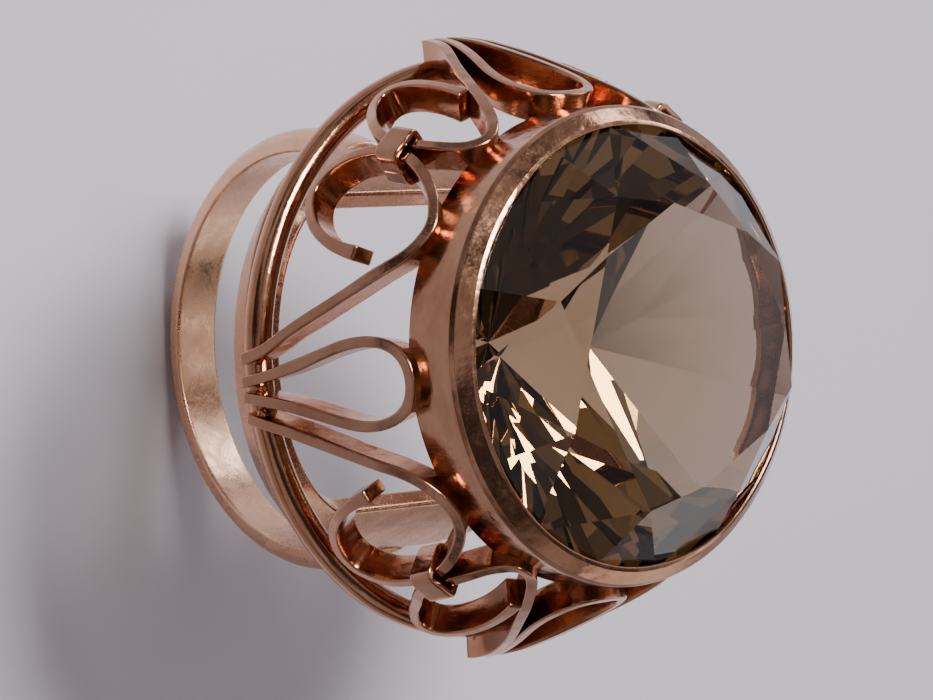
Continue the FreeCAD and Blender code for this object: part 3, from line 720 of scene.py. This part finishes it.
# base ring: round drawn wire, with the slight flats and waver of hand work
def build_wire():
    n, m = 420, 28
    wr, wz, wt = wave(11, n, 0.035, 2, 7), wave(12, n, 0.03, 2, 6), wave(13, n, 0.014, 5, 19)
    verts = []
    for i in range(n):
        a = 2 * math.pi * i / n
        for j in range(m):
            b = 2 * math.pi * j / m
            r = WIRE_T + wt[i]
            rr = WIRE_R + wr[i] + r * math.cos(b)
            verts.append((rr * math.sin(a), -rr * math.cos(a), WIRE_Z + wz[i] + r * math.sin(b)))
    faces = grid_faces(n, m, True, True)
    # solder left where each ribbon stands on the wire
    feet = []
    for _, path in PETALS:
        feet += [path[0][0], path[-1][0]]
    for _, path in SCROLLS:
        feet.append(path[0][0])
    rs = np.random.RandomState(77)
    for phi in feet:
        a = math.radians(phi + rs.uniform(-0.3, 0.3))
        rad = min(basket_radius(phi, 10.9) - 0.75, 12.9)
        c = (rad * math.sin(a), -rad * math.cos(a), 11.18)
        ea, er, ez = rs.uniform(0.36, 0.46), rs.uniform(0.42, 0.52), rs.uniform(0.24, 0.34)
        k = len(verts)
        p, q = 14, 9
        for i in range(p):
            u = 2 * math.pi * i / p
            for j in range(q):
                v = -0.5 * math.pi + math.pi * (j + 0.5) / q
                la, lr, lz = ea * math.cos(v) * math.cos(u), er * math.cos(v) * math.sin(u), ez * math.sin(v)
                verts.append((c[0] + la * math.cos(a) + lr * math.sin(a),
                              c[1] + la * math.sin(a) - lr * math.cos(a), c[2] + lz))
        for i in range(p):
            i2 = (i + 1) % p
            for j in range(q - 1):
                faces.append([k + i * q + j, k + i2 * q + j, k + i2 * q + j + 1, k + i * q + j + 1])
        faces.append([k + i * q + q - 1 for i in range(p)])
        faces.append([k + i * q for i in reversed(range(p))])
    return mesh_object("base_ring_wire", verts, faces)


finish(build_wire(), "base_ring", "wire_gold", M_WIRE)

# bezel collet with its burnished rim
rim_in = wave(21, 320, 0.045, 3, 14)
rim_up = wave(22, 320, 0.035, 3, 12)
prof = round_profile([
    (9.90, 18.20, 0.08), (10.35, 18.20, 0.10), (10.35, 20.72, 0.10), (10.24, 20.93, 0.10),
    (9.68, 21.38, 0.06), (9.50, 21.46, 0.05), (9.44, 21.38, 0.04), (9.47, 21.26, 0.02), (9.80, 20.98, 0.02), (9.90, 20.85, 0.02)], 5)


def collet_wob(i, j):
    r, z = prof[j]
    k = min(max((z - 20.6) / 0.8, 0.0), 1.0)
    inner = 1.0 if r < 9.62 else 0.0
    return rim_in[i] * k * (0.4 + 0.6 * inner), rim_up[i] * k


finish(revolve("bezel_wall", prof, 320, collet_wob), "bezel_collet", "bezel_gold", M_BEZEL)

prof_seat = round_profile([(8.78, 19.35, 0.05), (9.90, 19.35, 0.02), (9.90, 20.62, 0.02), (9.78, 20.62, 0.02),
                           (8.78, 19.77, 0.05)], 3)
finish(revolve("bezel_bearing", prof_seat, 256), "bezel_seat", "bezel_gold", M_BEZEL)


# stone: round brilliant, every facet flat
def build_stone():
    gr, gl, gh = GIRDLE_R, GIRDLE_LO, GIRDLE_HI
    tr, tz, cz = TABLE_R, TABLE_Z, CULET_Z
    crown_h, pav_h = tz - gh, gl - cz
    turn = 5.0

    def ring_pts(radius, z, count, t=0.0):
        return [(radius * math.cos(math.radians(t + 360.0 * i / count)),
                 radius * math.sin(math.radians(t + 360.0 * i / count)), z) for i in range(count)]
    table = ring_pts(tr, tz, 8, turn)
    hi = ring_pts(gr, gh, 16, turn)
    lo = ring_pts(gr, gl, 16, turn)
    a8 = math.pi / 8.0
    s = crown_h / (gr - tr)
    rs = 0.5 * (tr * math.cos(a8) + gr * math.cos(a8)) * 0.985
    zs = gh + s * (gr - rs * math.cos(a8))
    stars = ring_pts(rs, zs, 8, turn + 22.5)
    sp = pav_h / gr
    rp = gr * 0.24
    zp = gl - sp * (gr - rp * math.cos(a8))
    joins = ring_pts(rp, zp, 8, turn + 22.5)
    culet = (0.0, 0.0, cz)
    polys = [table]
    for i in range(8):
        j = (i + 1) % 8
        polys.append([table[i], stars[i], table[j]])
        polys.append([table[i], stars[i - 1], hi[2 * i], stars[i]])
        polys.append([stars[i], hi[2 * i], hi[2 * i + 1]])
        polys.append([stars[i], hi[2 * i + 1], hi[(2 * i + 2) % 16]])
        polys.append([culet, joins[i - 1], lo[2 * i], joins[i]])
        polys.append([joins[i], lo[2 * i], lo[2 * i + 1]])
        polys.append([joins[i], lo[2 * i + 1], lo[(2 * i + 2) % 16]])
    for i in range(16):
        k = (i + 1) % 16
        polys.append([hi[i], lo[i], lo[k], hi[k]])
    index, verts, faces = {}, [], []
    for p in polys:
        f = []
        for v in p:
            key = tuple(round(c, 5) for c in v)
            if key not in index:
                index[key] = len(verts)
                verts.append(v)
            f.append(index[key])
        faces.append(f)
    return mesh_object("quartz_brilliant", verts, faces, smooth=False)


finish(build_stone(), "smoky_quartz", "quartz", M_STONE)

# petals and scrolls
seed = 40
for label, path in PETALS:
    seed += 1
    finish(ribbon("loop_" + label, path, 190, seed=seed), label, "wire_gold", M_SIDE, M_EDGE)
for label, path in SCROLLS:
    seed += 1
    finish(ribbon("ribbon_" + label, path, 230, cut_tip=True, seed=seed), label, "wire_gold", M_SIDE, M_EDGE)


# collars: a flat strip bent round the two ribbons, its ends meeting in a seam
def build_collar(name, az, high, seed):
    span, deep, long_, wall = 1.86, 2.06, 1.2, 0.30
    r = np.random.RandomState(seed)
    # path of the strip's middle line: rounded rectangle, seam on one side
    w, d = span - wall, deep - wall
    rc = 0.30
    path = []
    for cx, cy, a0 in ((w / 2 - rc, d / 2 - rc, 0), (-w / 2 + rc, d / 2 - rc, 90), (-w / 2 + rc, -d / 2 + rc, 180), (w / 2 - rc, -d / 2 + rc, 270)):
        for k in range(9):
            a = math.radians(a0 + 90 * k / 8)
            path.append((cx + rc * math.cos(a), cy + rc * math.sin(a)))
        if a0 < 270:
            pass
    path = np.array(path)
    # start in the middle of the +x side, so that the seam sits there
    start = np.array([[w / 2, 0.02]])
    end = np.array([[w / 2, -0.02]])
    line = np.concatenate([start, path, end])
    dense = []
    for i in range(len(line) - 1):
        L = np.linalg.norm(line[i + 1] - line[i])
        k = max(1, int(L / 0.12))
        for q in range(k):
            dense.append(line[i] + (line[i + 1] - line[i]) * q / k)
    dense.append(line[-1])
    dense = np.array(dense)
    tan = np.gradient(dense, axis=0)
    tan /= np.linalg.norm(tan, axis=1)[:, None]
    nrm = np.stack([tan[:, 1], -tan[:, 0]], 1)
    sec = round_profile([(-wall / 2, -long_ / 2, 0.07), (wall / 2, -long_ / 2, 0.10), (wall / 2, long_ / 2, 0.10),
                         (-wall / 2, long_ / 2, 0.07)], 4)
    m = len(sec)
    f = math.radians(az)
    lean = math.radians(12.0)
    out_dir = np.array([math.sin(f), -math.cos(f), 0.0])
    tang = np.array([math.cos(f), math.sin(f), 0.0])
    up = np.array([0, 0, 1.0])
    zdir = up * math.cos(lean) - out_dir * math.sin(lean)
    ydir = out_dir * math.cos(lean) + up * math.sin(lean)
    c = out_dir * (12.84 - deep / 2) + up * high
    roll = math.radians(r.uniform(-4, 4))
    verts = []
    for i, p in enumerate(dense):
        for (a, b) in sec:
            q = p + nrm[i] * a
            x, y, z = q[0], q[1], b * (1 + 0.05 * math.sin(i * 0.3 + seed))
            x2 = x * math.cos(roll) - z * math.sin(roll)
            z2 = x * math.sin(roll) + z * math.cos(roll)
            verts.append(c + tang * x2 + ydir * y + zdir * z2)
    n = len(dense)
    faces = grid_faces(n, m, False, True)
    for ring in (list(range(m)), [(n - 1) * m + j for j in range(m)]):
        cc = np.mean([verts[j] for j in ring], axis=0)
        cap_fan(verts, faces, ring, tuple(cc))
    return mesh_object(name, verts, faces)


for i, (label, az, high) in enumerate(COLLARS):
    finish(build_collar("band_" + label, az, high, 60 + i), label, "wire_gold", M_EDGE)

# --------------------------------------------------------------------------
# floor, light, camera
# --------------------------------------------------------------------------
FLOOR_Z = -(BORE + SHANK_T) - 0.01


def build_floor():
    bm = bmesh.new()
    bmesh.ops.create_grid(bm, x_segments=40, y_segments=40, size=0.9)
    me = bpy.data.meshes.new("floor")
    bm.to_mesh(me)
    bm.free()
    ob = bpy.data.objects.new("floor", me)
    bpy.context.scene.collection.objects.link(ob)
    ob.location = (0, 0, FLOOR_Z * MM)
    mat = bpy.data.materials.new("floor_paper")
    nt = nodes_of(mat)
    N, L = nt.nodes.new, nt.links.new
    out = N("ShaderNodeOutputMaterial")
    b = N("ShaderNodeBsdfPrincipled")
    b.inputs["Roughness"].default_value = 0.75
    tc = N("ShaderNodeTexCoord")
    n1 = N("ShaderNodeTexNoise")
    n1.inputs["Scale"].default_value = 30.0
    n1.inputs["Detail"].default_value = 2.0
    L(tc.outputs["Object"], n1.inputs["Vector"])
    mix = N("ShaderNodeMix")
    mix.data_type = "RGBA"
    mix.inputs[6].default_value = (0.60, 0.578, 0.66, 1)
    mix.inputs[7].default_value = (0.64, 0.612, 0.695, 1)
    L(n1.outputs["Fac"], mix.inputs[0])
    # painted pool of light: the floor keeps its pale colour round the ring and is painted darker further off, painted
    # shade standing in for light falloff
    place = N("ShaderNodeMapping")
    place.vector_type = "TEXTURE"
    place.inputs["Location"].default_value = (0.0, 0.028, 0.0)
    place.inputs["Scale"].default_value = (0.034, 0.041, 1.0)
    L(tc.outputs["Object"], place.inputs["Vector"])
    far = N("ShaderNodeVectorMath")
    far.operation = "LENGTH"
    L(place.outputs["Vector"], far.inputs[0])
    painted_pool_falloff = N("ShaderNodeMapRange")
    painted_pool_falloff.interpolation_type = "SMOOTHSTEP"
    painted_pool_falloff.inputs["From Min"].default_value = 1.0
    painted_pool_falloff.inputs["From Max"].default_value = 1.75
    L(far.outputs["Value"], painted_pool_falloff.inputs["Value"])
    edge = N("ShaderNodeMix")
    edge.data_type = "RGBA"
    # darker colour painted outside the pool of light: painted shade
    edge.inputs[7].default_value = (0.30, 0.285, 0.31, 1)
    L(mix.outputs[2], edge.inputs[6])
    L(painted_pool_falloff.outputs["Result"], edge.inputs[0])
    L(edge.outputs[2], b.inputs["Base Color"])
    L(b.outputs["BSDF"], out.inputs["Surface"])
    ob.data.materials.append(mat)
    return ob


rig.stage(build_floor())

world = bpy.data.worlds.new("studio")
bpy.context.scene.world = world
world.use_nodes = True
wn = world.node_tree
for n in list(wn.nodes):
    wn.nodes.remove(n)
wo = wn.nodes.new("ShaderNodeOutputWorld")
bg = wn.nodes.new("ShaderNodeBackground")
bg.inputs["Color"].default_value = (1.0, 0.90, 0.90, 1)
bg.inputs["Strength"].default_value = 0.15
wn.links.new(bg.outputs[0], wo.inputs["Surface"])
# the room round the table: soft lighter and darker areas
room = wn.nodes.new("ShaderNodeTexCoord")
cloud = wn.nodes.new("ShaderNodeTexNoise")
cloud.inputs["Scale"].default_value = 2.1
cloud.inputs["Detail"].default_value = 1.0
wn.links.new(room.outputs["Generated"], cloud.inputs["Vector"])
level = wn.nodes.new("ShaderNodeMapRange")
level.inputs["From Min"].default_value = 0.42
level.inputs["From Max"].default_value = 0.62
level.inputs["To Min"].default_value = 0.05
level.inputs["To Max"].default_value = 0.44
wn.links.new(cloud.outputs["Fac"], level.inputs["Value"])
wn.links.new(level.outputs["Result"], bg.inputs["Strength"])


def area(name, loc, target, size, size_y, power, color=(1, 1, 1)):
    d = bpy.data.lights.new(name, "AREA")
    d.shape = "RECTANGLE"
    d.size, d.size_y = size, size_y
    d.energy = power
    d.color = color
    o = bpy.data.objects.new(name, d)
    bpy.context.scene.collection.objects.link(o)
    o.location = loc
    dirv = Vector(target) - Vector(loc)
    o.rotation_euler = dirv.to_track_quat("-Z", "Y").to_euler()
    return o


area("key", (-0.168, -0.01, 0.343), (0, 0, 0.005), 0.13, 0.13, 1.9, (1.0, 0.975, 0.94))
area("window", (-0.30, 0.34, 0.16), (0, 0, 0.005), 0.22, 0.14, 0.55, (0.86, 0.92, 1.0))
area("card_back", (0.03, 0.27, 0.29), (0, 0, 0.005), 0.20, 0.20, 0.085, (1.0, 0.97, 0.98))
area("card_side", (0.23, 0.22, 0.055), (0, 0, 0.012), 0.22, 0.13, 0.085, (1.0, 0.97, 0.96))

cam_data = bpy.data.cameras.new("camera")
cam_data.sensor_width = 36.0
cam_data.lens = 3582.1 / 933.0 * 36.0
cam_data.clip_start = 0.005
cam_data.clip_end = 10.0
cam = bpy.data.objects.new("camera", cam_data)
bpy.context.scene.collection.objects.link(cam)
right = Vector((0.0443, 0.7395, 0.6717)).normalized()
fwd = Vector((0.0317, 0.6710, -0.7408))
fwd = (fwd - right * fwd.dot(right)).normalized()
up = right.cross(fwd).normalized()
cam.matrix_world = Matrix((
    (right.x, up.x, -fwd.x, -5.01 * MM),
    (right.y, up.y, -fwd.y, -108.35 * MM),
    (right.z, up.z, -fwd.z, 130.03 * MM),
    (0, 0, 0, 1)))
bpy.context.scene.camera = cam

vis_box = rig.bounds()


def plain(box):
    return [[float(c) for c in corner] for corner in box]


try:
    with open("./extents.json", "w") as fh:
        json.dump({"cad": plain(cad_box), "visual": plain(vis_box)}, fh)
except OSError:
    pass
